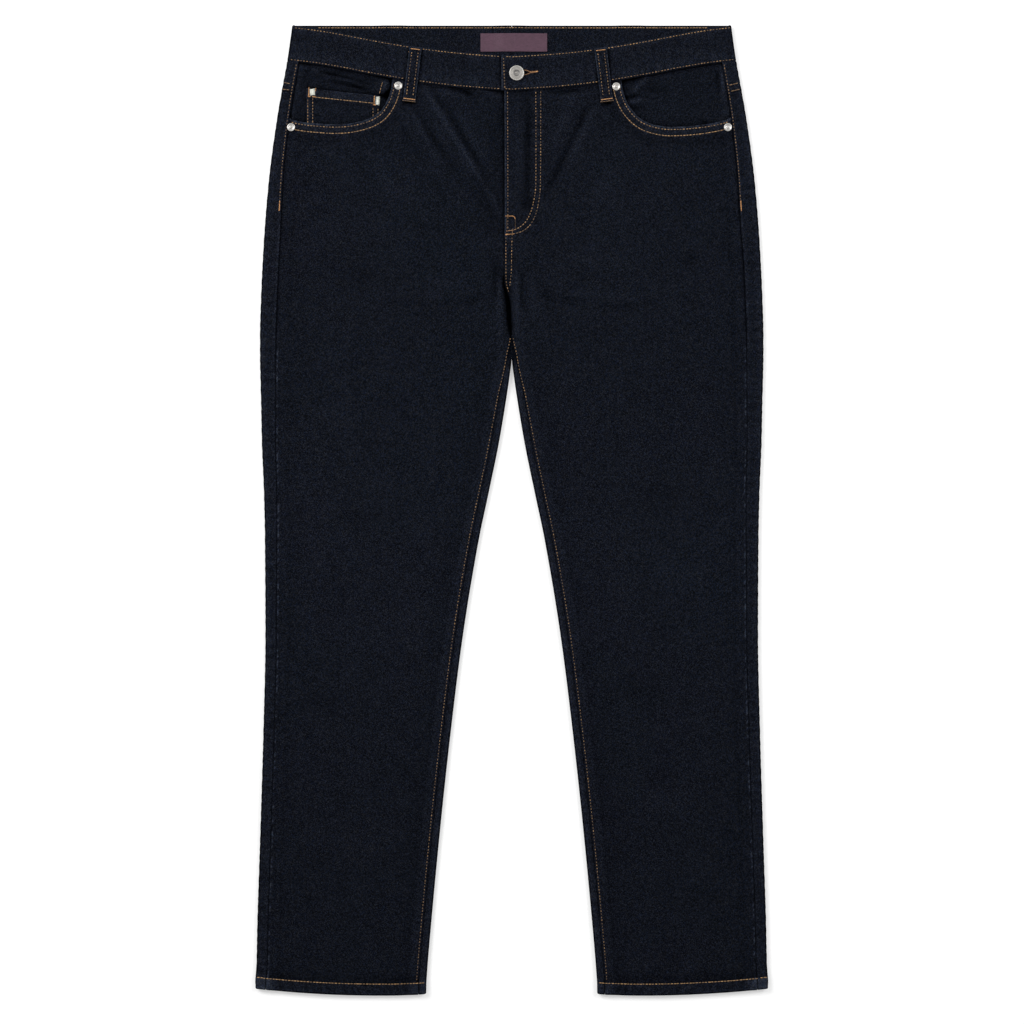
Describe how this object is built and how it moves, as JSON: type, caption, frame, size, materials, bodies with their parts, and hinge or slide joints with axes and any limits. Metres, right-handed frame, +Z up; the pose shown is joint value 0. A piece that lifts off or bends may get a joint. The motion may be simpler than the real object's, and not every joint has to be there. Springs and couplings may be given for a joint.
{
  "type": "tapered jeans",
  "caption": "Tapered denim jeans with a buttoned fly front, scooped pockets and topstitched seams, lying flat on their back.",
  "frame": {"origin": "middle of the garment's footprint, on the surface that its back lies on", "axes": "+Z up out of the front, +Y from the hems to the waistband, +X towards the wearer's left"},
  "size_m": [0.5588, 1.0572, 0.0107],
  "materials": {
    "denim": "dark indigo right-hand twill, dry and matt",
    "zip_tape": "woven tape",
    "label_weave": "plum satin weave",
    "thread": "tan topstitching thread",
    "metal": "satin nickel"
  },
  "bodies": {
    "root": {"front_left": "denim", "front_right": "denim", "back_left": "denim", "back_right": "denim", "yoke_left": "denim", "yoke_right": "denim", "waistband_left": "denim", "waistband_right": "denim", "belt_loop_front_left": "denim", "belt_loop_front_right": "denim", "belt_loop_side_left": "denim", "belt_loop_side_right": "denim", "belt_loop_back": "denim", "pocket_facing_left": "denim", "pocket_facing_right": "denim", "coin_pocket": "denim", "back_pocket_left": "denim", "back_pocket_right": "denim", "fly_zip": "zip_tape", "zip_slider": "metal", "label": "label_weave", "button": "metal", "rivet_1": "metal", "rivet_2": "metal", "rivet_3": "metal", "rivet_4": "metal"}
  },
  "joints": []
}
